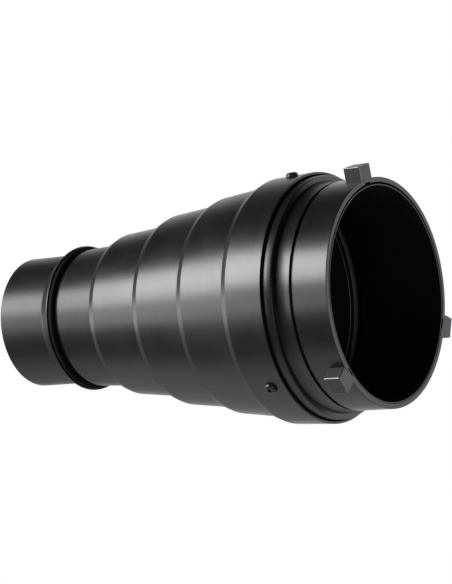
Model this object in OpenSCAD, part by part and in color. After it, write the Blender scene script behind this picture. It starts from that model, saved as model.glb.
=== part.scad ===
// Conical snoot for a studio flash: a stepped spun cone with a three-lug bayonet collar
// at the wide end and a push-on nose that carries a honeycomb grid.
// The optical axis is X. The origin is on the axis, in the plane of the collar's rim.
// +X points out of the bayonet, the nose points to -X and +Z is up.

/* [Bayonet collar] */
// Outside diameter of the collar
collar_d = 137; // [135:0.5:138.5]
// Wall of the collar
collar_wall = 3; // [2.8:0.1:3.2]
// Length of the collar, from its rim to the groove
collar_len = 22.8; // [18:0.1:24]
// Width of the groove between the collar and the neck of the mount ring
groove_w = 2; // [1:0.1:3]
// Width of a lug, across the rim
lug_w = 12.5; // [10:0.1:16]
// Height of a lug above the collar
lug_h = 8.6; // [7:0.1:10]
// Length of a lug, along the axis
lug_len = 11; // [10.5:0.1:15]
// Width of the slot in the rim that takes a lug's tongue
slot_w = 6.2; // [4:0.1:8]
// Length of that slot, along the axis
slot_len = 5; // [3:0.1:5.5]
// Depth of slot left open inside a lug's tongue
slot_gap = 0.9; // [0.5:0.1:1.2]

/* [Mount ring] */
// Distance from the rim plane to the seating face of the flange
seat_x = 34.5; // [33:0.1:36]
// Outside diameter of the flange
flange_d = 146.6; // [145:0.2:147.2]
// Distance from the rim plane to the inner end of the ring
skirt_end_x = 60; // [58:0.1:62]
// Diameter of the sleeve that lines the collar
sleeve_d = 129.8; // [129:0.1:129.8]
// Wall of the sleeve
sleeve_wall = 0.9; // [0.7:0.1:1.2]
// How far the loose sleeve drops inside the collar
sleeve_drop = 0.55; // [0:0.05:0.55]

/* [Cone] */
// Wall of the spun cone
shell_wall = 1.5; // [1.2:0.1:1.6]
// Distance from the rim plane to the rear edge of the cone
shell_end_x = 40.2; // [39:0.1:43]
// Front diameter of each band, the nose end first
band_d = [87.8, 101.9, 119, 133.5, 149.2]; // [87:0.2:150]
// Length of each band, the nose end first
band_len = [33.1, 39.7, 38.1, 37.5, 25.1]; // [20:0.1:50]
// Growth of the radius along each band, the nose end first
band_rise = [1.4, 3.4, 3.6, 3.9, 1]; // [0:0.1:5]
// Length of the sloping shoulder ahead of each band
shoulder_len = 4; // [3:0.1:5]
// Fall of the radius along the shoulder
shoulder_drop = 1.6; // [1:0.1:2.2]

/* [Nose] */
// Outside diameter of the nose tube
nose_d = 82.8; // [82:0.1:83.6]
// Length of the nose tube, with its flare
nose_len = 42; // [40:0.1:60]
// Wall of the nose tube
nose_wall = 1.5; // [1.3:0.1:1.8]
// Outside diameter of the flare
flare_d = 92.6; // [90:0.2:96]
// Length of the flare
flare_len = 7; // [5:0.1:9]
// Gap between the cone and the flare, filled by the ring land and the rubber ring
nose_gap = 6.6; // [5.6:0.1:8]
// Length of the spigot ahead of the cone
spigot_len = 22.3; // [16:0.1:23]

/* [Honeycomb grid] */
// Width of a cell across its flats
cell_w = 4.8; // [3.6:0.1:8]
// Thickness of the foil between cells
foil = 0.4; // [0.3:0.05:0.8]
// Length of the grid, along the axis
grid_len = 20; // [12:0.5:20]
// Distance from the nose's front edge to the grid
grid_recess = 2.5; // [2:0.1:2.7]

/* [Hidden] */

$fn = 96;
arc_steps = 6;
slip = 0.02;          // gap between parts that are pressed or screwed together
running = 0.08;       // radial clearance of a sliding fit
edge = 0.4;           // small turned chamfer
lug_count = 3;
lug_pitch = 360 / lug_count;

collar_r = collar_d / 2;
bore_r = collar_r - collar_wall;
neck_bore_r = bore_r + collar_wall / 2;
neck_x = collar_len + groove_w;
joint_len = 6.4;
neck_rise = 1.2;         // the hollow neck rises by this much towards the flange
neck_end_x = 27;
lug_edge = 0.65;
lug_screw_x = 8;
lug_screw_r = 1.5;
lug_screw_head_r = 2.9;
lug_screw_head_h = 1.5;
lug_screw_len = 7.5;

flange_r = flange_d / 2;
flange_web = 5.5;
flange_fall = 0.6;       // the flange falls by this much towards its seating face
band_land_x = 46;
skirt_bore_r = flange_r - 5.3;
lip_bore_r = skirt_bore_r + 1.9;
lip_x = skirt_end_x - 2.7;
retainer_r = lip_bore_r + 0.7;
retainer_inner_r = lip_bore_r - 1.9;
retainer_t = 0.9;
retainer_gap = 24;
sleeve_r = sleeve_d / 2;
sleeve_lip_r = lip_bore_r - 0.7;
sleeve_bend = 0.8;
sleeve_edge_x = 0.2;

screw_x = 50.5;
screw_r = 2;
screw_len = 6.5;
screw_head_r = 3.8;
screw_head_h = 2.2;
screw_socket_w = 2.5;
screw_socket_depth = 1.3;
screw_clearance = 0.15;

bands = len(band_d);
shell_end_r = band_d[bands - 1] / 2 + band_rise[bands - 1];
cone_front_x = shell_end_x + sum_from(band_len, 0);

plug_len = 9;
plug_r = band_d[0] / 2 - shell_wall - 0.1;
plug_slope = band_rise[0] / band_len[0];
land_len = 3.7;
nose_r = nose_d / 2;
nose_bore_r = nose_r - nose_wall;
nose_rear_x = cone_front_x + nose_gap;
nose_front_x = nose_rear_x + nose_len;
spigot_r = nose_bore_r - running;
spigot_wall = 1.5;
spigot_end_x = cone_front_x + spigot_len;
flare_rim = 1;
flare_blend = 3;         // radius between the barrel and the flare's slope
felt_x = nose_rear_x + 5;
felt_len = 6;
felt_t = 0.7;
felt_gap = 0.1;
rubber_r = flare_d / 2 - 0.7;
rubber_round = 0.9;

grid_front_x = nose_front_x - grid_recess;
grid_rear_x = grid_front_x - grid_len;
grid_band_r = nose_bore_r - 0.7;
grid_band_t = 0.5;
core_r = grid_band_r - grid_band_t - 0.05;
rib_h = 1.7;
rib_t = 1.5;
spring_w = 6;
spring_inset = 3;
spring_t = 0.25;
spring_bow = 0.3;
rivet_r = 0.8;
rivet_head_r = 1.3;
rivet_head_h = 0.25;
rivet_inset = 1.6;

// Sum of a list from one index to its end
function sum_from(list, k) = k >= len(list) ? 0 : list[k] + sum_from(list, k + 1);

// Points [r, x] of an arc about a centre, from one angle to another
function arc(cr, cx, radius, from, to, steps = arc_steps) = [
    for (i = [0 : steps])
        let (a = from + (to - from) * i / steps)
        [cr + radius * cos(a), cx + radius * sin(a)]
];

function reversed(list) = [for (i = [len(list) - 1 : -1 : 0]) list[i]];

// Front edge of a band of the cone, on the X axis
function band_x(k) = -(shell_end_x + sum_from(band_len, k));

// Radius of the last band's outer skin at a distance from the rim plane
function shell_r(x) = shell_end_r - band_rise[bands - 1] * (x - shell_end_x) / band_len[bands - 1];

// The arc that rounds the corner b of an outline that runs from a through b to c
function corner(a, b, c, radius, steps = 3) =
    let (u = (a - b) / norm(a - b),
         v = (c - b) / norm(c - b),
         half = acos(u * v) / 2,
         middle = b + (u + v) / norm(u + v) * radius / sin(half),
         start = b + u * radius / tan(half) - middle,
         sweep = (180 - 2 * half) * (cross(u, v) > 0 ? -1 : 1))
    [
        for (i = [0 : steps])
            let (t = sweep * i / steps)
            middle + [start[0] * cos(t) - start[1] * sin(t), start[0] * sin(t) + start[1] * cos(t)]
    ];

// An open outline with its inner corners rounded
function rounded(line, radius) = [
    for (i = [0 : len(line) - 1])
        each (i == 0 || i == len(line) - 1 ? [line[i]]
              : corner(line[i - 1], line[i], line[i + 1], radius))
];

// Corners of one band at a depth t below the outer skin: the shoulder's two ends and the rear of the flank
function band_line(k, t) =
    let (slope = norm([shoulder_len, shoulder_drop]),
         x = band_x(k),
         r = band_d[k] / 2,
         rear_x = band_x(k + 1) + (k == bands - 1 ? 0 : t - shoulder_len),
         shoulder = [[r - shoulder_drop - t * shoulder_len / (slope + shoulder_drop), x - shoulder_len + t],
                     [r - t, x + t * shoulder_drop / (slope + shoulder_len)]])
    concat(k == 0 ? [[r - t, x]] : shoulder, [[r + band_rise[k] - t, rear_x]]);

function shell_line(t) = rounded([for (k = [0 : bands - 1]) each band_line(k, t)], 0.9);

// A solid of revolution about the X axis, from an outline of [r, x] points
module turned(outline, angle = 360) {
    rotate([0, 90, 0])
        rotate_extrude(angle = angle)
            polygon(outline);
}

// A straight tube on the X axis, between two distances ahead of the rim plane
module tube(inner_r, outer_r, rear, front) {
    turned([[inner_r, -front], [outer_r, -front], [outer_r, -rear], [inner_r, -rear]]);
}

// Places a child, drawn standing on the X axis, at one of the lug positions
module at_lug(k, x = 0) {
    rotate([lug_pitch * (k - 1), 0, 0])
        translate([-x, 0, 0])
            children();
}

module at_each_lug(x = 0) {
    for (k = [1 : lug_count])
        at_lug(k, x) children();
}

// A box in the plane of a lug: width across, radii from and to, and length back from the rim
module lug_block(width, from_r, to_r, length) {
    translate([-length, -width / 2, from_r])
        cube([length, width, to_r - from_r]);
}

// Lug outline with bevelled outer edges
module lug_bevelled() {
    top = collar_r + lug_h;
    base = bore_r;
    half = lug_w / 2;
    intersection() {
        rotate([90, 0, -90])
            linear_extrude(lug_len)
                polygon([[-half, base], [half, base], [half, top - lug_edge],
                         [half - lug_edge, top], [lug_edge - half, top], [-half, top - lug_edge]]);
        rotate([90, 0, 0])
            linear_extrude(lug_w, center = true)
                polygon([[-lug_len, base], [0, base], [0, top - lug_edge], [-lug_edge, top],
                         [lug_edge - lug_len, top], [-lug_len, top - lug_edge]]);
    }
}

module bayonet_lug(k) {
    color([0.27, 0.27, 0.28])
        at_lug(k)
            difference() {
                union() {
                    difference() {
                        lug_bevelled();
                        tube(0, collar_r + slip, -1, lug_len + 1);
                    }
                    intersection() {
                        lug_block(slot_w - 2 * slip, bore_r, collar_r + 1, slot_len - slip);
                        tube(bore_r + slot_gap, collar_r + 1, 0, slot_len);
                    }
                }
                translate([-lug_screw_x, 0, bore_r])
                    cylinder(r = lug_screw_r, h = lug_screw_len + 0.5);
            }
}

module bayonet_collar() {
    color([0.16, 0.16, 0.17])
        difference() {
            turned([
                [bore_r, 0], [collar_r - edge, 0], [collar_r, -edge],
                [collar_r, edge - collar_len], [collar_r - edge, -collar_len],
                [neck_bore_r - slip, -collar_len], [neck_bore_r - slip, -neck_x - joint_len + 0.4],
                [bore_r, -neck_x - joint_len + 0.4]
            ]);
            at_each_lug()
                lug_block(slot_w, bore_r - 1, collar_r + 1, slot_len);
            at_each_lug(lug_screw_x)
                lug_screw_hole();
        }
}

module lug_screw_hole() {
    translate([0, 0, bore_r - 1])
        cylinder(r = lug_screw_r + slip, h = collar_wall + 2);
    translate([0, 0, bore_r])
        cylinder(r1 = lug_screw_head_r, r2 = lug_screw_r, h = lug_screw_head_h);
    translate([0, 0, bore_r - 1])
        cylinder(r = lug_screw_head_r, h = 1);
}

module lug_screws() {
    color([0.1, 0.1, 0.1])
        at_each_lug(lug_screw_x)
            translate([0, 0, bore_r + 0.3])
                difference() {
                    union() {
                        cylinder(r1 = lug_screw_head_r - 0.32, r2 = lug_screw_r - slip,
                                 h = lug_screw_head_h - 0.3);
                        cylinder(r = lug_screw_r - slip, h = lug_screw_len - 0.3);
                    }
                    translate([0, 0, -1])
                        cylinder(d = 2 / cos(30), h = 1.8, $fn = 6);
                }
}

module mount_ring() {
    cove_len = seat_x - neck_end_x;
    cove_half = atan(neck_rise / cove_len);
    cove_r = cove_len / sin(2 * cove_half);
    fall_len = flange_web - edge;
    fall_half = atan(flange_fall / fall_len);
    fall_r = fall_len / sin(2 * fall_half);
    skirt_front_r = shell_r(skirt_end_x) - shell_wall - 0.1;
    retainer_x = lip_x + 1;
    color([0.13, 0.13, 0.14])
        difference() {
            turned(concat(
                [[neck_bore_r, -neck_x], [collar_r - edge, -neck_x], [collar_r, -neck_x - edge]],
                arc(collar_r + cove_r, -neck_end_x, cove_r, 180, 180 + 2 * cove_half),
                [[flange_r - flange_fall - edge, -seat_x]],
                arc(flange_r - fall_r, -seat_x - flange_web, fall_r, 2 * fall_half, 0),
                [[flange_r, -band_land_x],
                 [shell_r(band_land_x + 0.6) - shell_wall - 0.1, -band_land_x - 0.6],
                 [skirt_front_r, -skirt_end_x + 0.5],
                 [skirt_front_r - 0.5, -skirt_end_x], [lip_bore_r, -skirt_end_x],
                 [lip_bore_r, -retainer_x - 1.1], [retainer_r + 0.1, -retainer_x - 1.1],
                 [retainer_r + 0.1, -retainer_x], [lip_bore_r, -retainer_x], [lip_bore_r, -lip_x],
                 [skirt_bore_r, -lip_x], [skirt_bore_r, -seat_x - flange_web],
                 [bore_r, -seat_x - flange_web], [bore_r, -neck_x - joint_len],
                 [neck_bore_r, -neck_x - joint_len]]
            ));
            at_each_lug(screw_x)
                translate([0, 0, skirt_bore_r - 1])
                    cylinder(r = screw_r, h = 10, $fn = 32);
        }
}

module mount_screws() {
    seat_r = shell_r(screw_x - screw_head_r) + slip;
    color([0.07, 0.07, 0.07])
        at_each_lug(screw_x)
            translate([0, 0, seat_r])
                button_screw();
}

// Button-head screw: its head stands on the XY plane and its shank hangs below
module button_screw() {
    crown_r = screw_head_r * 0.55;
    rim_h = 0.35;
    dome = [
        for (i = [0 : arc_steps])
            let (a = 90 * i / arc_steps)
            [crown_r + (screw_head_r - crown_r) * cos(a), rim_h + (screw_head_h - rim_h) * sin(a)]
    ];
    difference() {
        union() {
            rotate_extrude($fn = 48)
                polygon(concat([[0, 0], [screw_head_r, 0]], dome, [[0, screw_head_h]]));
            translate([0, 0, -screw_len])
                cylinder(r = screw_r - slip, h = screw_len + 0.1, $fn = 32);
        }
        translate([0, 0, screw_head_h - screw_socket_depth])
            cylinder(d = screw_socket_w / cos(30), h = screw_socket_depth + 1, $fn = 6);
    }
}

// Thin liner of the collar, with a lip turned outwards at its inner end
module inner_sleeve() {
    inner_r = sleeve_r - sleeve_wall;
    outer_bend = sleeve_bend + sleeve_wall;
    lip_rear = -lip_x - 0.1;
    lip_front = lip_rear - sleeve_wall;
    color([0.1, 0.1, 0.1])
        translate([0, 0, -sleeve_drop])
            turned(concat(
                [[inner_r, -sleeve_edge_x], [sleeve_r, -sleeve_edge_x]],
                arc(sleeve_r + sleeve_bend, lip_rear + sleeve_bend, sleeve_bend, 180, 270),
                [[sleeve_lip_r, lip_rear], [sleeve_lip_r, lip_front]],
                arc(inner_r + outer_bend, lip_front + outer_bend, outer_bend, 270, 180)
            ));
}

// Open snap ring that keeps the sleeve's lip against its shoulder
module sleeve_retainer() {
    rear = lip_x + 1.1;
    color([0.35, 0.35, 0.36])
        rotate([retainer_gap / 2, 0, 0])
            turned([[retainer_inner_r, -rear], [retainer_r, -rear],
                    [retainer_r, -rear - retainer_t], [retainer_inner_r, -rear - retainer_t]],
                   360 - retainer_gap);
}

module cone_shell() {
    color([0.17, 0.17, 0.18])
        difference() {
            turned(concat(shell_line(0), reversed(shell_line(shell_wall))));
            at_each_lug(screw_x)
                translate([0, 0, shell_end_r - shell_wall - 3])
                    cylinder(r = screw_r + screw_clearance, h = 6, $fn = 32);
        }
}

// Ring wedged in the front of the cone, with a land for the rubber ring and a spigot for the nose
module front_ring() {
    plug_rear_r = plug_r + plug_slope * plug_len;
    land_x = cone_front_x + land_len;
    felt_floor = spigot_r - felt_t;
    color([0.09, 0.09, 0.1])
        turned([
            [spigot_r - spigot_wall, plug_len - cone_front_x], [plug_rear_r, plug_len - cone_front_x],
            [plug_r, -cone_front_x], [plug_r, -land_x], [spigot_r, -land_x], [spigot_r, -felt_x],
            [felt_floor, -felt_x], [felt_floor, -felt_x - felt_len], [spigot_r, -felt_x - felt_len],
            [spigot_r, edge - spigot_end_x], [spigot_r - edge, -spigot_end_x],
            [spigot_r - spigot_wall, -spigot_end_x]
        ]);
}

module rubber_ring() {
    rear = -(cone_front_x + land_len + slip);
    front = -(nose_rear_x - 0.1);
    color([0.05, 0.05, 0.05])
        turned(concat(
            [[spigot_r + slip, rear], [spigot_r + slip, front]],
            arc(rubber_r - rubber_round, front + rubber_round, rubber_round, -90, 0),
            arc(rubber_r - rubber_round, rear - rubber_round, rubber_round, 0, 90)
        ));
}

module felt_band() {
    color([0.08, 0.08, 0.08])
        tube(spigot_r - felt_t + slip, nose_bore_r - felt_gap, felt_x + 0.2, felt_x + felt_len - 0.2);
}

// Nose tube: a straight barrel, a sloping flare at its rear and a rib that the grid rests on
module nose_tube() {
    flare_r = flare_d / 2;
    flare_start = -nose_rear_x - flare_rim - flare_len;
    flare_angle = atan((flare_r - nose_r) / flare_len);
    flare_reach = flare_blend * tan(flare_angle / 2);
    rib_front = -grid_rear_x + 0.2;
    color([0.18, 0.18, 0.19])
        turned(concat(
            [[nose_bore_r, -nose_front_x], [nose_r - edge, -nose_front_x], [nose_r, edge - nose_front_x]],
            arc(nose_r + flare_blend, flare_start - flare_reach, flare_blend, 180, 180 - flare_angle),
            [[flare_r, -nose_rear_x - flare_rim], [flare_r, -nose_rear_x - edge],
             [flare_r - edge, -nose_rear_x], [nose_bore_r + edge, -nose_rear_x],
             [nose_bore_r, -nose_rear_x - edge], [nose_bore_r, rib_front + rib_t],
             [nose_bore_r - rib_h, rib_front + rib_t], [nose_bore_r - rib_h, rib_front],
             [nose_bore_r, rib_front]]
        ));
}

module grid_band() {
    color([0.12, 0.12, 0.12])
        difference() {
            tube(grid_band_r - grid_band_t, grid_band_r, grid_rear_x, grid_front_x);
            at_each_lug(grid_rear_x + spring_inset + rivet_inset)
                translate([0, 0, grid_band_r - 2])
                    cylinder(r = rivet_r, h = 4, $fn = 24);
        }
}

// Honeycomb of thin foil: a disc with a hexagonal cell at each point of a triangular lattice
module grid_core() {
    pitch = cell_w + foil;
    row = pitch * sin(60);
    rows = ceil(core_r / row);
    columns = ceil(core_r / pitch);
    depth = 0.3;
    color([0.14, 0.14, 0.14])
        translate([depth - grid_front_x, 0, 0])
            rotate([90, 0, 90])
                linear_extrude(grid_len - 2 * depth)
                    difference() {
                        circle(r = core_r);
                        intersection() {
                            circle(r = core_r - foil);
                            union()
                                for (j = [-rows : rows], i = [-columns : columns])
                                    let (y = i * pitch + (j % 2 == 0 ? 0 : pitch / 2), z = j * row)
                                    if (norm([y, z]) < core_r - foil)
                                        translate([y, z])
                                            rotate(30)
                                                circle(d = cell_w / cos(30), $fn = 6);
                        }
                    }
}

// Bowed leaf spring on the grid's band, running along the axis
module grid_spring(k) {
    base = grid_band_r + slip;
    rear = grid_rear_x + spring_inset;
    span = grid_len - 2 * spring_inset;
    sweep = spring_w / base * 180 / PI;
    steps = 2 * arc_steps;
    lower = [
        for (i = [0 : steps])
            [base + spring_bow * pow(sin(180 * max(0, i - 2) / (steps - 2)), 2), -rear - span * i / steps]
    ];
    upper = [for (p = reversed(lower)) [p[0] + spring_t, p[1]]];
    color([0.4, 0.4, 0.41])
        difference() {
            at_lug(k)
                rotate([180 - sweep / 2, 0, 0])
                    turned(concat(lower, upper), sweep);
            at_lug(k, rear + rivet_inset)
                translate([0, 0, grid_band_r - 2])
                    cylinder(r = rivet_r, h = 4, $fn = 24);
        }
}

module grid_rivets() {
    top = grid_band_r + slip + spring_t + slip;
    color([0.3, 0.3, 0.3])
        at_each_lug(grid_rear_x + spring_inset + rivet_inset) {
            translate([0, 0, grid_band_r - grid_band_t + slip])
                cylinder(r = rivet_r - slip, h = grid_band_t + spring_t + 2 * slip, $fn = 24);
            translate([0, 0, top])
                cylinder(r1 = rivet_head_r, r2 = rivet_r, h = rivet_head_h, $fn = 24);
        }
}

cone_shell();
mount_ring();
bayonet_collar();
bayonet_lug(1);  // bayonet_lug_1
bayonet_lug(2);  // bayonet_lug_2
bayonet_lug(3);  // bayonet_lug_3
lug_screws();
mount_screws();
inner_sleeve();
sleeve_retainer();
front_ring();
rubber_ring();
felt_band();
nose_tube();
grid_band();
grid_core();
grid_spring(1);  // grid_spring_1
grid_spring(2);  // grid_spring_2
grid_spring(3);  // grid_spring_3
grid_rivets();
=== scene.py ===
import math

import bmesh
import bpy
from mathutils import Matrix, Vector


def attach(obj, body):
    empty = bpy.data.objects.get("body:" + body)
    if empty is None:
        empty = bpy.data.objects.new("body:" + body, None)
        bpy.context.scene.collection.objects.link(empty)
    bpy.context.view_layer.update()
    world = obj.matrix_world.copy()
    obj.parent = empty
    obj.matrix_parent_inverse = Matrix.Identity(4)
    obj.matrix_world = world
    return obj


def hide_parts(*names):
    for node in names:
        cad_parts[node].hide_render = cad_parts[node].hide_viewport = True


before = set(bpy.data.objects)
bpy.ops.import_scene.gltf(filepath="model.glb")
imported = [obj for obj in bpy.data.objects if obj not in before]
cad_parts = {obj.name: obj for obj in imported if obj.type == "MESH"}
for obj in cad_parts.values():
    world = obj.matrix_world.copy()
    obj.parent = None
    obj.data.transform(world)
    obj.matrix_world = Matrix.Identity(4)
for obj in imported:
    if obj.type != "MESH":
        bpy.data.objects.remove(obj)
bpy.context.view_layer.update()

MM = 0.001
ROUND = 256               # faces round a turned part

# Distances are in millimetres. On a turned part x runs along the optical axis from the rim plane,
# and is less than zero towards the nose.
COLLAR_R = 68.5
BORE_R = 65.5
NECK_BORE_R = 67.0
GROOVE_X = -22.8
NECK_X = -24.8
COVE_X = -27.0
COVE_RISE = 1.2
SEAT_X = -34.5
FLANGE_R = 73.3
FALL = 0.6
FALL_LEN = 5.1
LAND_X = -46.0
SKIRT_BORE_R = 68.0
SKIRT_END_X = -60.0
LIP_X = -57.3
SHELL_WALL = 1.5
SHELL_REAR_X = -40.2
BANDS = ((25.1, 74.6, 1.0), (37.5, 66.75, 3.9), (38.1, 59.5, 3.6), (39.7, 50.95, 3.4), (33.1, 43.9, 1.4))
SHOULDER_LEN = 4.0
SHOULDER_DROP = 1.6
FRONT_BAND_X = -184.5     # rear edge of the front band, which gets the nose's painted-shade finish
STEP_X = (-68.5, -63.5)   # where the first inner step's slope lies, with a painted highlight: a light grey finish
SPIGOT_R = 39.82
NOSE_R = 41.4
NOSE_BORE_R = 39.9
FLARE_R = 46.3
LUG_ANGLES = (0, 120, 240)
LUG_W = 12.5
LUG_TOP_R = 77.1
LUG_LEN = 11.0
LUG_BEVEL = 0.65
SLOT_W = 6.2
SLOT_LEN = 5.0
MOUNT_SCREW_X = -50.5
LUG_SCREW_X = -8.0


# Outlines and meshes

def corner(before, at, after, radius):
    """Points of the arc that rounds one corner of an outline."""
    a = (Vector(before) - Vector(at)).normalized()
    b = (Vector(after) - Vector(at)).normalized()
    half = a.angle(b) / 2
    if radius <= 0 or half > math.radians(88):
        return [tuple(at)]
    reach = radius / math.tan(half)
    centre = Vector(at) + (a + b).normalized() * (radius / math.sin(half))
    start = Vector(at) + a * reach - centre
    turn = math.pi - 2 * half
    steps = max(2, math.ceil(math.degrees(turn) / 10))
    if start.cross(Vector(at) + b * reach - centre) < 0:
        turn = -turn
    points = []
    for i in range(steps + 1):
        c, s = math.cos(turn * i / steps), math.sin(turn * i / steps)
        points.append((centre.x + start.x * c - start.y * s, centre.y + start.x * s + start.y * c))
    return points


def rounded(outline):
    """A closed outline of (x, r) or (x, r, rounding) points, with its corners rounded."""
    count = len(outline)
    points = []
    for i, p in enumerate(outline):
        radius = p[2] if len(p) > 2 else 0
        points += corner(outline[i - 1][:2], p[:2], outline[(i + 1) % count][:2], radius)
    return points


def arc(cx, cr, radius, start, end, steps):
    """Points (x, r) of an arc, with its angles in degrees from +x towards +r."""
    points = []
    for i in range(steps + 1):
        a = math.radians(start + (end - start) * i / steps)
        points.append((cx + radius * math.cos(a), cr + radius * math.sin(a)))
    return points


def new_piece(name, bm):
    mesh = bpy.data.meshes.new(name)
    bm.to_mesh(mesh)
    bm.free()
    piece = bpy.data.objects.new(name, mesh)
    bpy.context.scene.collection.objects.link(piece)
    return piece


def turn(bm, outline, steps=ROUND, place=Matrix.Identity(4), drop=0.0):
    """Adds a closed outline of (x, r) points, turned about the X axis, to a mesh."""
    rings = []
    for i in range(steps):
        a = 2 * math.pi * i / steps
        ring = []
        for x, r in outline:
            point = Vector((x, r * math.sin(a), r * math.cos(a) - drop)) * MM
            ring.append(bm.verts.new(place @ point))
        rings.append(ring)
    count = len(outline)
    for i in range(steps):
        near, far = rings[i], rings[(i + 1) % steps]
        for k in range(count):
            m = (k + 1) % count
            bm.faces.new((near[k], near[m], far[m], far[k]))
    return bm


def lathe(name, outline, drop=0.0, steps=ROUND):
    bm = turn(bmesh.new(), rounded(outline), steps, drop=drop)
    bmesh.ops.recalc_face_normals(bm, faces=bm.faces)
    return new_piece(name, bm)


def around(angle, x=0.0):
    """Placement of something drawn on the Z axis at the rim plane, turned to an angle about the X axis."""
    return Matrix.Rotation(math.radians(angle), 4, "X") @ Matrix.Translation((x * MM, 0, 0))


def block(bm, low, high, place):
    """Adds a box between two corners in millimetres."""
    made = bmesh.ops.create_cube(bm, size=1)["verts"]
    size = Vector(high) - Vector(low)
    middle = (Vector(high) + Vector(low)) / 2
    for v in made:
        v.co = place @ ((Vector((v.co.x * size.x, v.co.y * size.y, v.co.z * size.z)) + middle) * MM)
    return made


def rod(bm, radius, low, high, place, sides=48):
    """Adds a round or many-sided rod that stands on the Z axis between two heights."""
    made = bmesh.ops.create_cone(bm, cap_ends=True, segments=sides, radius1=radius * MM, radius2=radius * MM,
                                 depth=(high - low) * MM)["verts"]
    for v in made:
        v.co = place @ (v.co + Vector((0, 0, (high + low) / 2 * MM)))
    return made


def revolve(bm, profile, place, steps=64):
    """Adds a solid turned about the Z axis from (r, z) points. Its first and last points lie on the axis."""
    rings = []
    for r, z in profile:
        if r == 0:
            rings.append([bm.verts.new(place @ Vector((0, 0, z * MM)))] * steps)
        else:
            rings.append([bm.verts.new(place @ (Vector((r * math.cos(2 * math.pi * i / steps),
                                                        r * math.sin(2 * math.pi * i / steps), z)) * MM))
                          for i in range(steps)])
    for low, high in zip(rings, rings[1:]):
        for i in range(steps):
            m = (i + 1) % steps
            corners = []
            for v in (low[i], low[m], high[m], high[i]):
                if v not in corners:
                    corners.append(v)
            if len(corners) > 2:
                bm.faces.new(corners)


def carve(piece, cutter, how="DIFFERENCE"):
    """Applies a boolean of one mesh to another and removes the second."""
    modifier = piece.modifiers.new("carve", "BOOLEAN")
    modifier.operation = how
    modifier.solver = "EXACT"
    modifier.object = cutter
    graph = bpy.context.evaluated_depsgraph_get()
    mesh = bpy.data.meshes.new_from_object(piece.evaluated_get(graph))
    old = piece.data
    piece.modifiers.remove(modifier)
    piece.data = mesh
    bpy.data.meshes.remove(old)
    bpy.data.objects.remove(cutter)


def smooth(piece, angle=35):
    """Smooth shading that keeps corners sharper than the angle and flat faces flat."""
    bm = bmesh.new()
    bm.from_mesh(piece.data)
    for face in bm.faces:
        face.smooth = True
    for edge in bm.edges:
        edge.smooth = len(edge.link_faces) == 2 and edge.calc_face_angle() < math.radians(angle)
    bm.to_mesh(piece.data)
    bm.free()
    weighted = piece.modifiers.new("flat faces", "WEIGHTED_NORMAL")
    weighted.keep_sharp = True
    weighted.weight = 90


def coat(piece, outer, inner=None):
    """Gives a turned piece its material, and another one on the faces that look at the axis."""
    piece.data.materials.clear()
    piece.data.materials.append(outer)
    if inner is None:
        return
    piece.data.materials.append(inner)
    for face in piece.data.polygons:
        radial = Vector((0, face.center.y, face.center.z)).normalized()
        if face.normal.dot(radial) < -0.3:
            face.material_index = 1


def settle(piece, body, nodes, outer, inner=None, angle=35):
    """Finishes a piece: shading, material, the body that it rides on and the nodes that it stands for."""
    smooth(piece, angle)
    coat(piece, outer, inner)
    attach(piece, body)
    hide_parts(*nodes)
    return piece


# Materials

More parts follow.
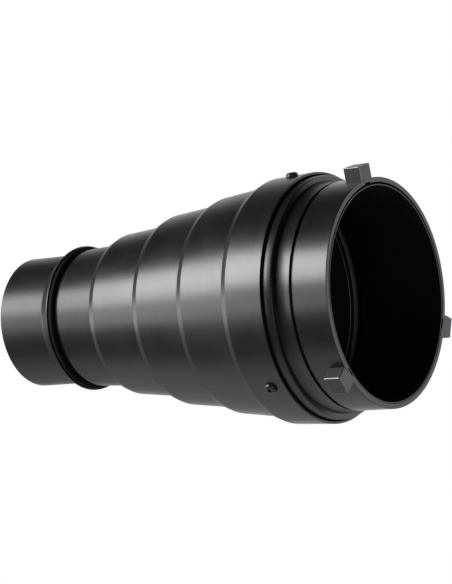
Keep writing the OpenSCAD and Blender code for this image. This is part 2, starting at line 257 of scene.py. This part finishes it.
class Shader:
    """A small helper that adds nodes to one material and joins them."""

    def __init__(self, name):
        self.material = bpy.data.materials.new(name)
        self.material.use_nodes = True
        self.tree = self.material.node_tree
        self.main = self.tree.nodes["Principled BSDF"]
        self.place = self.node("ShaderNodeTexCoord").outputs["Object"]

    def node(self, kind, **values):
        made = self.tree.nodes.new(kind)
        for key, value in values.items():
            if hasattr(made, key):
                setattr(made, key, value)
            else:
                made.inputs[key.replace("_", " ")].default_value = value
        return made

    def join(self, source, target):
        self.tree.links.new(source, target)

    def sum(self, kind, a, b, c=None):
        made = self.node("ShaderNodeMath", operation=kind)
        for i, value in enumerate((a, b, c)):
            if value is None:
                continue
            if isinstance(value, (int, float)):
                made.inputs[i].default_value = value
            else:
                self.join(value, made.inputs[i])
        return made.outputs[0]

    def grain(self, scale, detail=3.0, rough=0.6):
        """Noise over the whole surface. Scale is in features a metre."""
        made = self.node("ShaderNodeTexNoise", Scale=scale, Detail=detail, Roughness=rough)
        self.join(self.place, made.inputs["Vector"])
        return made.outputs[0]

    def turning(self, scale, detail=4.0, rough=0.7):
        """Lines left by a lathe: they run round the X axis on barrels and on end faces alike."""
        parts = self.node("ShaderNodeSeparateXYZ")
        self.join(self.place, parts.inputs[0])
        squares = self.sum("MULTIPLY", parts.outputs[1], parts.outputs[1])
        radius = self.sum("SQRT", self.sum("MULTIPLY_ADD", parts.outputs[2], parts.outputs[2], squares), 0.0)
        along = self.sum("MULTIPLY_ADD", radius, 1.31, parts.outputs[0])
        made = self.node("ShaderNodeTexNoise", noise_dimensions="1D", Scale=scale, Detail=detail,
                         Roughness=rough)
        self.join(along, made.inputs["W"])
        return made.outputs[0]

    def ramp(self, source, low, high, to_low=0.0, to_high=1.0):
        made = self.node("ShaderNodeMapRange", interpolation_type="SMOOTHSTEP")
        self.join(source, made.inputs["Value"])
        for key, value in (("From Min", low), ("From Max", high), ("To Min", to_low), ("To Max", to_high)):
            made.inputs[key].default_value = value
        return made.outputs[0]

    def blend(self, factor, a, b):
        """Mixes two colours, each a plain colour or a socket."""
        made = self.node("ShaderNodeMix", data_type="RGBA")
        self.join(factor, made.inputs[0])
        for socket, value in ((made.inputs[6], a), (made.inputs[7], b)):
            if isinstance(value, tuple):
                socket.default_value = (*value, 1.0)
            else:
                self.join(value, socket)
        return made.outputs[2]

    def edges(self, start=0.52, end=0.6):
        """How much a point lies on an outer edge."""
        return self.ramp(self.node("ShaderNodeNewGeometry").outputs["Pointiness"], start, end)

    def bump(self, layers):
        """Bumps of (height source, depth in metres, strength), one on another."""
        normal = None
        for height, depth, strength in layers:
            made = self.node("ShaderNodeBump", Strength=strength, Distance=depth)
            self.join(height, made.inputs["Height"])
            if normal is not None:
                self.join(normal, made.inputs["Normal"])
            normal = made.outputs[0]
        self.join(normal, self.main.inputs["Normal"])

    def finish(self, colour, roughness, **plain):
        self.join(colour, self.main.inputs["Base Color"])
        self.join(roughness, self.main.inputs["Roughness"])
        for key, value in plain.items():
            self.main.inputs[key.replace("_", " ")].default_value = value
        return self.material


def turned_black(name, dark, light, roughness, lines=900.0, depth=0.00002, edge_highlight=(0.03, 0.03, 0.032), ior=1.5):
    """Black anodised metal with the fine lines of the lathe, cloudy patches and a painted highlight along
    outer edges.
    """
    s = Shader(name)
    fine = s.turning(lines)
    broad = s.turning(lines * 0.14, 2.0)
    cloud = s.grain(38.0)
    dust = s.grain(2600.0, 2.0)
    tone = s.sum("MULTIPLY_ADD", s.sum("ADD", fine, cloud), 0.5, 0.0)
    colour = s.blend(s.ramp(tone, 0.35, 0.65), dark, light)
    # Painted highlight: outer edges, found by pointiness and broken up by the speck noise, are mixed towards
    # the edge highlight colour.
    colour = s.blend(s.sum("MULTIPLY", s.edges(), s.ramp(dust, 0.35, 0.6, 0.4, 1.0)), colour, edge_highlight)
    rough = s.sum("ADD", s.ramp(cloud, 0.3, 0.7, roughness - 0.02, roughness + 0.02),
                  s.ramp(fine, 0.3, 0.7, -0.02, 0.02))
    s.bump(((broad, depth * 3.0, 0.35), (fine, depth, 0.5), (dust, depth * 0.25, 0.3)))
    return s.finish(colour, rough, IOR=ior)


def bead_blasted(name, dark, light, roughness, ior=1.5):
    """Fine even grain of a blasted and dyed surface."""
    s = Shader(name)
    dust = s.grain(3200.0, 2.0)
    cloud = s.grain(90.0)
    colour = s.blend(s.ramp(s.sum("MULTIPLY_ADD", cloud, 0.5, s.sum("MULTIPLY", dust, 0.5)), 0.35, 0.65),
                     dark, light)
    s.bump(((dust, 0.00002, 0.4),))
    return s.finish(colour, s.ramp(cloud, 0.3, 0.7, roughness - 0.03, roughness + 0.03), IOR=ior)


def matte_black(name, dark, light, roughness, grain=900.0, sheen=0.0, specular=0.3):
    """Dull surface such as rubber, felt or the flocked inside of the cone."""
    s = Shader(name)
    fine = s.grain(grain, 5.0, 0.7)
    cloud = s.grain(60.0)
    colour = s.blend(s.ramp(s.sum("MULTIPLY_ADD", cloud, 0.4, s.sum("MULTIPLY", fine, 0.6)), 0.35, 0.65),
                     dark, light)
    s.bump(((fine, 0.00008, 0.35),))
    return s.finish(colour, s.ramp(fine, 0.3, 0.7, roughness - 0.05, roughness + 0.05),
                    Sheen_Weight=sheen, Specular_IOR_Level=specular)


def bare_metal(name, tint, roughness):
    """Bright rolled spring steel or a plated rivet, with a faint brushed grain."""
    s = Shader(name)
    fine = s.turning(2200.0)
    cloud = s.grain(120.0)
    colour = s.blend(s.ramp(cloud, 0.3, 0.7), tuple(0.8 * c for c in tint), tint)
    s.bump(((fine, 0.00001, 0.4),))
    return s.finish(colour, s.ramp(fine, 0.3, 0.7, roughness - 0.05, roughness + 0.05), Metallic=1.0)


spun = turned_black("spun_black", (0.0075, 0.0075, 0.008), (0.012, 0.012, 0.013), 0.31, 700.0)
machined = turned_black("machined_black", (0.0075, 0.0075, 0.008), (0.011, 0.011, 0.012), 0.3, 1300.0)
# Painted shade: a copy of the spun finish with a lower IOR, so that the nose and the front band reflect less,
# standing in for the weaker light that reaches them.
nose_shaded_black = turned_black("nose_turned_black_shaded", (0.0075, 0.0075, 0.008), (0.012, 0.012, 0.013), 0.35, 1100.0,
                          ior=1.4)
inside = matte_black("inside_black", (0.012, 0.012, 0.012), (0.02, 0.02, 0.02), 0.48)
# Painted highlight: a light grey finish, some fifteen times lighter than the skin around it, for the bright
# arc that the first inner step shows. It stands in for light caught by the step, not for a lighter skin.
step_highlight_paint = turned_black("inner_step_painted_highlight", (0.2, 0.2, 0.205), (0.28, 0.28, 0.285), 0.4)
liner = turned_black("liner_black", (0.003, 0.003, 0.003), (0.0045, 0.0045, 0.0045), 0.5, 1200.0)
rubber = matte_black("stop_rubber", (0.004, 0.004, 0.004), (0.007, 0.007, 0.007), 0.8, 1500.0, specular=0.12)
felt = matte_black("felt_fibre", (0.008, 0.008, 0.008), (0.02, 0.02, 0.02), 0.95, 2400.0, 0.4)
lug_finish = bead_blasted("lug_blasted", (0.011, 0.011, 0.0115), (0.018, 0.018, 0.0185), 0.36)
# Painted highlight: a bright bare-metal finish on the lug bevels, for the bright lines along them.
lug_bevel_highlight = bare_metal("lug_bevel_painted_highlight", (0.3, 0.3, 0.305), 0.42)
screw_finish = bead_blasted("screw_oxide", (0.006, 0.006, 0.007), (0.012, 0.012, 0.012), 0.3)
foil = matte_black("foil_black", (0.006, 0.006, 0.006), (0.012, 0.012, 0.012), 0.45, 500.0)
steel = bare_metal("spring_metal", (0.45, 0.44, 0.42), 0.3)
rivet = bare_metal("rivet_metal", (0.35, 0.35, 0.36), 0.35)


# Turned parts

def make_shell():
    """Spun cone: a sloping shoulder and a step at the front of each band."""
    slope = math.hypot(SHOULDER_LEN, SHOULDER_DROP)

    def skin(depth, foot_round, step_round):
        """Outline at a depth below the outer skin, with the roundings at the two ends of each step."""
        x = SHELL_REAR_X
        points = [(x, BANDS[0][1] + BANDS[0][2] - depth, 0.25)]
        for k, (length, radius, rise) in enumerate(BANDS):
            if k > 0:
                points.append((x - SHOULDER_LEN + depth, radius + rise - depth, foot_round))
            x -= length
            if k < len(BANDS) - 1:
                points.append((x + depth * SHOULDER_DROP / (slope + SHOULDER_LEN), radius - depth, 1.0))
                points.append((x - SHOULDER_LEN + depth,
                               radius - SHOULDER_DROP - depth * SHOULDER_LEN / (slope + SHOULDER_DROP),
                               step_round))
            else:
                points.append((x, radius - depth, 0.3))
        return points

    shell = lathe("spun_cone", skin(0.0, 0.8, 0.6) + list(reversed(skin(SHELL_WALL, 0.9, 1.6))))
    cut = bmesh.new()
    for angle in LUG_ANGLES:
        rod(cut, 2.15, 70, 78, around(angle, MOUNT_SCREW_X))
    carve(shell, new_piece("cut", cut))
    settle(shell, "cone", ["cone_shell"], spun, inside, 26)
    shell.data.materials.append(nose_shaded_black)
    shell.data.materials.append(step_highlight_paint)
    for face in shell.data.polygons:
        x = face.center.x / MM
        # The front band takes the nose's painted-shade finish.
        if face.material_index == 0 and x < FRONT_BAND_X:
            face.material_index = 2
        # The first inner step's slope gets the painted highlight finish.
        elif face.material_index == 1 and STEP_X[0] < x < STEP_X[1] and face.normal.x < 0.6:
            face.material_index = 3
    return shell


def skirt_r(x):
    """Outer radius of the mount ring's skirt, just inside the last band of the cone."""
    length, radius, rise = BANDS[0]
    return radius + rise * (1 - (SHELL_REAR_X - x) / length) - SHELL_WALL - 0.1


def make_mount_ring():
    """Skirt inside the cone, a flange that falls away to the seating face, and a hollow neck."""
    cove_turn = 2 * math.atan(COVE_RISE / (COVE_X - SEAT_X))
    cove_radius = (COVE_X - SEAT_X) / math.sin(cove_turn)
    fall_turn = 2 * math.atan(FALL / FALL_LEN)
    fall_radius = FALL_LEN / math.sin(fall_turn)
    outline = [(NECK_X, NECK_BORE_R, 0.15), (NECK_X, COLLAR_R, 0.4)]
    outline += arc(COVE_X, COLLAR_R + cove_radius, cove_radius, 270, 270 - math.degrees(cove_turn), 10)
    outline.append((SEAT_X, FLANGE_R - 1.0))
    outline += arc(SEAT_X - 5.5, FLANGE_R - fall_radius, fall_radius, 90 - math.degrees(fall_turn), 90, 10)
    outline += [
        (LAND_X, FLANGE_R), (LAND_X - 0.6, skirt_r(LAND_X - 0.6), 0.2),
        (SKIRT_END_X, skirt_r(SKIRT_END_X), 0.5), (SKIRT_END_X, 69.9, 0.15), (-59.4, 69.9),
        (-59.4, 70.7), (-58.3, 70.7), (-58.3, 69.9), (LIP_X, 69.9), (LIP_X, SKIRT_BORE_R, 0.15),
        (-40.0, SKIRT_BORE_R), (-40.0, BORE_R, 0.2), (-31.2, BORE_R), (-31.2, NECK_BORE_R),
    ]
    ring = lathe("machined_mount_ring", outline)
    cut = bmesh.new()
    for angle in LUG_ANGLES:
        rod(cut, 2.0, 66, 76, around(angle, MOUNT_SCREW_X))
    carve(ring, new_piece("cut", cut))
    return settle(ring, "cone", ["mount_ring"], machined, inside)


def make_collar():
    outline = (
        (0, BORE_R, 0.15), (0, COLLAR_R, 0.35), (GROOVE_X, COLLAR_R, 0.4), (GROOVE_X, NECK_BORE_R - 0.02),
        (-30.8, NECK_BORE_R - 0.02, 0.3), (-30.8, BORE_R, 0.15),
    )
    collar = lathe("turned_collar", outline)
    cut = bmesh.new()
    for angle in LUG_ANGLES:
        block(cut, (-SLOT_LEN, -SLOT_W / 2, 64.5), (1, SLOT_W / 2, 69.5), around(angle))
        rod(cut, 1.52, 64, 70, around(angle, LUG_SCREW_X), 32)
    carve(collar, new_piece("cut", cut))
    return settle(collar, "cone", ["bayonet_collar"], machined, inside)


def make_liner():
    """Thin sleeve in the collar. It hangs a little low, and its inner end turns out into a lip."""
    outline = [(-0.2, 64.0, 0.2), (-0.2, 64.9, 0.2)]
    outline += arc(-56.6, 65.7, 0.8, 270, 180, 6)
    outline += [(-57.4, 69.2), (-58.3, 69.2)]
    outline += arc(-56.6, 65.7, 1.7, 180, 270, 8)
    sleeve = lathe("collar_liner", outline, drop=0.55)
    return settle(sleeve, "cone", ["inner_sleeve"], liner)


def make_front_ring():
    outline = (
        (-204.7, 38.32, 0.2), (-204.7, 42.68, 0.3), (-213.7, 42.3), (-217.4, 42.3, 0.2), (-217.4, SPIGOT_R),
        (-225.3, SPIGOT_R), (-225.3, 39.12), (-231.3, 39.12), (-231.3, SPIGOT_R), (-236.0, SPIGOT_R, 0.4),
        (-236.0, 38.32, 0.2),
    )
    return settle(lathe("spigot_ring", outline), "cone", ["front_ring"], machined, inside)


def make_rubber_ring():
    outline = (
        (-217.42, 39.84, 0.2), (-217.42, 45.6, 0.9), (-220.2, 45.6, 0.9), (-220.2, 39.84, 0.2),
    )
    return settle(lathe("stop_ring", outline), "cone", ["rubber_ring"], rubber)


def make_felt_band():
    outline = ((-225.5, 39.14, 0.1), (-225.5, 39.8, 0.3), (-231.1, 39.8, 0.3), (-231.1, 39.14, 0.1))
    return settle(lathe("felt_strip", outline), "cone", ["felt_band"], felt)


def make_nose():
    """Barrel with a sloping flare at its rear and a low rib inside that the grid rests on."""
    outline = (
        (-262.3, NOSE_BORE_R, 0.3), (-262.3, NOSE_R, 0.4), (-228.3, NOSE_R, 3.0), (-221.3, FLARE_R, 0.2),
        (-220.3, FLARE_R, 0.3), (-220.3, NOSE_BORE_R, 0.3), (-238.1, NOSE_BORE_R), (-238.1, 38.2, 0.3),
        (-239.6, 38.2, 0.3), (-239.6, NOSE_BORE_R),
    )
    return settle(lathe("flared_nose", outline), "nose", ["nose_tube"], nose_shaded_black, inside, 24)


# Lugs and screws

def make_lug(number, angle):
    """Lug block with bevelled edges, seated on the collar, and its tongue in the rim's slot."""
    place = around(angle)
    bm = bmesh.new()
    block(bm, (-LUG_LEN, -LUG_W / 2, BORE_R), (0, LUG_W / 2, LUG_TOP_R), Matrix.Identity(4))
    upper = [e for e in bm.edges if max(v.co.z for v in e.verts) > (COLLAR_R + 1) * MM]
    bmesh.ops.bevel(bm, geom=upper, offset=LUG_BEVEL * MM, segments=4, profile=0.5, affect="EDGES")
    bmesh.ops.transform(bm, matrix=place, verts=bm.verts)
    bmesh.ops.recalc_face_normals(bm, faces=bm.faces)
    lug = new_piece(f"lug_block_{number}", bm)
    core = bmesh.new()
    turn(core, ((-LUG_LEN - 1, 30), (1, 30), (1, COLLAR_R + 0.02), (-LUG_LEN - 1, COLLAR_R + 0.02)))
    bmesh.ops.recalc_face_normals(core, faces=core.faces)
    carve(lug, new_piece("cut", core))
    tongue = bmesh.new()
    block(tongue, (-4.98, -3.08, 66.45), (0, 3.08, 69.2), place)
    bmesh.ops.recalc_face_normals(tongue, faces=tongue.faces)
    carve(lug, new_piece("cut", tongue), "UNION")
    hole = bmesh.new()
    rod(hole, 1.5, 60, 73.5, around(angle, LUG_SCREW_X), 32)
    carve(lug, new_piece("cut", hole))
    settle(lug, "cone", [f"bayonet_lug_{number}"], lug_finish, angle=25)
    # The bevel faces get the bare-metal finish, a painted highlight line along each edge.
    lug.data.materials.append(lug_bevel_highlight)
    for face in lug.data.polygons:
        across = place.inverted().to_3x3() @ face.normal
        if max(abs(c) for c in across) < 0.9 and face.center.yz.length > (COLLAR_R + 0.5) * MM:
            face.material_index = 1
    return lug


def make_mount_screws():
    """Button heads with a hex socket and a rounded rim, and their shanks."""
    dome = [(2.09 + 1.71 * math.cos(math.radians(a)), 0.35 + 1.85 * math.sin(math.radians(a)))
            for a in range(0, 91, 9)]
    profile = [(0, -6.5), (1.5, -6.5), (1.98, -6.0), (1.98, 0), (3.65, 0), (3.8, 0.15)]
    profile += dome + [(0, 2.2)]
    bm = bmesh.new()
    cut = bmesh.new()
    for angle in LUG_ANGLES:
        place = around(angle, MOUNT_SCREW_X) @ Matrix.Translation((0, 0, 75.36 * MM))
        revolve(bm, profile, place)
        rod(cut, 1.25 / math.cos(math.pi / 6), 0.9, 3, place, 6)
    bmesh.ops.recalc_face_normals(bm, faces=bm.faces)
    screws = new_piece("button_screws", bm)
    carve(screws, new_piece("cut", cut))
    return settle(screws, "cone", ["mount_screws"], screw_finish)


def make_grid_band():
    outline = ((-239.8, 38.7, 0.1), (-239.8, 39.2, 0.15), (-259.8, 39.2, 0.15), (-259.8, 38.7, 0.1))
    return settle(lathe("grid_hoop", outline), "grid", ["grid_band"], foil)


make_shell()
make_mount_ring()
make_collar()
make_liner()
make_front_ring()
make_rubber_ring()
make_felt_band()
make_nose()
for number, angle in enumerate(LUG_ANGLES, 1):
    make_lug(number, angle)
make_mount_screws()
make_grid_band()

# CAD nodes that keep their shape and get a better finish
KEPT = {
    "lug_screws": screw_finish, "sleeve_retainer": steel, "grid_core": foil, "grid_spring_1": steel,
    "grid_spring_2": steel, "grid_spring_3": steel, "grid_rivets": rivet,
}
for name, finish in KEPT.items():
    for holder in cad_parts[name].material_slots:
        holder.material = finish


# Camera, floor and light

MIDDLE = Vector((-0.12, 0, 0))      # middle of the part, in metres
FLOOR_DROP = Vector((0, 0, -0.6))


def aimed(direction, up):
    """Rotation that looks along a direction, with up leaning to the top of the picture."""
    back = -direction.normalized()
    right = up.cross(back).normalized()
    return Matrix((right, back.cross(right), back)).transposed()


def make_camera():
    azimuth, elevation, roll = math.radians(34.796), math.radians(8.735), math.radians(11.16)
    forward = Vector((-math.sin(azimuth) * math.cos(elevation), math.cos(azimuth) * math.cos(elevation),
                      -math.sin(elevation)))
    right = forward.cross(Vector((0, 0, 1))).normalized()
    up = right.cross(forward)
    lens = bpy.data.cameras.new("camera")
    lens.sensor_width = 36.0
    lens.lens = 141.78
    lens.clip_start = 0.05
    lens.clip_end = 100.0
    camera = bpy.data.objects.new("camera", lens)
    bpy.context.scene.collection.objects.link(camera)
    turn_to = aimed(forward, up * math.cos(roll) + right * math.sin(roll))
    camera.matrix_world = Matrix.Translation((0.68503, -1.14954, 0.22411)) @ turn_to.to_4x4()
    bpy.context.scene.camera = camera


def soft_box(name, angle, lean, distance, width, height, power):
    """Area light aimed at the cone. Its angle, in degrees, is above the horizon about the X axis on the
    camera's side, and lean is how far it stands towards the nose."""
    a, b = math.radians(angle), math.radians(lean)
    away = Vector((-math.sin(b), -math.cos(b) * math.cos(a), math.cos(b) * math.sin(a)))
    light = bpy.data.lights.new(name, "AREA")
    light.shape = "RECTANGLE"
    light.size = width
    light.size_y = height
    light.energy = power
    lamp = bpy.data.objects.new(name, light)
    bpy.context.scene.collection.objects.link(lamp)
    stand = Matrix.Translation(MIDDLE + away * distance)
    lamp.matrix_world = stand @ aimed(-away, Vector((1, 0, 0))).to_4x4()


def make_world():
    """White studio with a dark ceiling. Its backdrop behind the part is the brightest side."""
    world = bpy.data.worlds.new("studio")
    bpy.context.scene.world = world
    world.use_nodes = True
    tree = world.node_tree
    tree.nodes.clear()
    parts = tree.nodes.new("ShaderNodeSeparateXYZ")
    tree.links.new(tree.nodes.new("ShaderNodeTexCoord").outputs["Generated"], parts.inputs[0])

    def side(axis, start, end, low, high):
        """Brightness that changes from low to high along one axis of the room."""
        ramp = tree.nodes.new("ShaderNodeMapRange")
        ramp.interpolation_type = "SMOOTHSTEP"
        tree.links.new(parts.outputs[axis], ramp.inputs["Value"])
        for key, value in (("From Min", start), ("From Max", end), ("To Min", low), ("To Max", high)):
            ramp.inputs[key].default_value = value
        return ramp.outputs[0]

    def join(kind, a, b):
        made = tree.nodes.new("ShaderNodeMath")
        made.operation = kind
        tree.links.new(a, made.inputs[0])
        tree.links.new(b, made.inputs[1])
        return made.outputs[0]

    below = side("Z", -0.1, 0.4, 0.11, 0.01)
    backdrop = join("MULTIPLY", side("Y", 0.35, 0.85, 0.0, 1.0), side("Z", 0.2, 0.75, 1.0, 0.0))
    ahead = join("MULTIPLY", side("X", -0.95, -0.75, 0.3, 0.0), side("Z", 0.2, 0.75, 1.0, 0.0))
    room = tree.nodes.new("ShaderNodeBackground")
    tree.links.new(join("ADD", join("ADD", below, backdrop), ahead), room.inputs["Strength"])
    white = tree.nodes.new("ShaderNodeBackground")
    for shader in (room, white):
        shader.inputs["Color"].default_value = (1, 1, 1, 1)
    mix = tree.nodes.new("ShaderNodeMixShader")
    tree.links.new(tree.nodes.new("ShaderNodeLightPath").outputs["Is Camera Ray"], mix.inputs[0])
    tree.links.new(room.outputs[0], mix.inputs[1])
    tree.links.new(white.outputs[0], mix.inputs[2])
    tree.links.new(mix.outputs[0], tree.nodes.new("ShaderNodeOutputWorld").inputs["Surface"])


def make_floor():
    """Pale floor below the part. It fades out at its edge into the white room."""
    bm = bmesh.new()
    bmesh.ops.create_circle(bm, cap_ends=True, segments=96, radius=1.2)
    bmesh.ops.translate(bm, verts=bm.verts, vec=MIDDLE + FLOOR_DROP)
    floor = new_piece("floor", bm)
    material = bpy.data.materials.new("floor_pale")
    material.use_nodes = True
    tree = material.node_tree
    main = tree.nodes["Principled BSDF"]
    main.inputs["Base Color"].default_value = (0.7, 0.7, 0.7, 1)
    main.inputs["Roughness"].default_value = 0.8
    place = tree.nodes.new("ShaderNodeTexCoord")
    parts = tree.nodes.new("ShaderNodeVectorMath")
    parts.operation = "DISTANCE"
    parts.inputs[1].default_value = MIDDLE + FLOOR_DROP
    tree.links.new(place.outputs["Object"], parts.inputs[0])
    fade = tree.nodes.new("ShaderNodeMapRange")
    fade.interpolation_type = "SMOOTHSTEP"
    tree.links.new(parts.outputs["Value"], fade.inputs["Value"])
    for key, value in (("From Min", 0.55), ("From Max", 1.15), ("To Min", 1.0), ("To Max", 0.0)):
        fade.inputs[key].default_value = value
    tree.links.new(fade.outputs[0], main.inputs["Alpha"])
    floor.data.materials.append(material)


make_camera()
make_world()
make_floor()
soft_box("key", angle=44, lean=34, distance=1.2, width=0.54, height=0.8, power=20)
soft_box("strip", angle=10, lean=56, distance=1.6, width=0.5, height=1.95, power=11.3)
soft_box("fill", angle=5, lean=-55, distance=1.6, width=0.9, height=0.9, power=3.2)
soft_box("mouth", angle=-160, lean=-64, distance=1.6, width=0.6, height=0.6, power=6)
bpy.context.scene.view_settings.view_transform = "Standard"
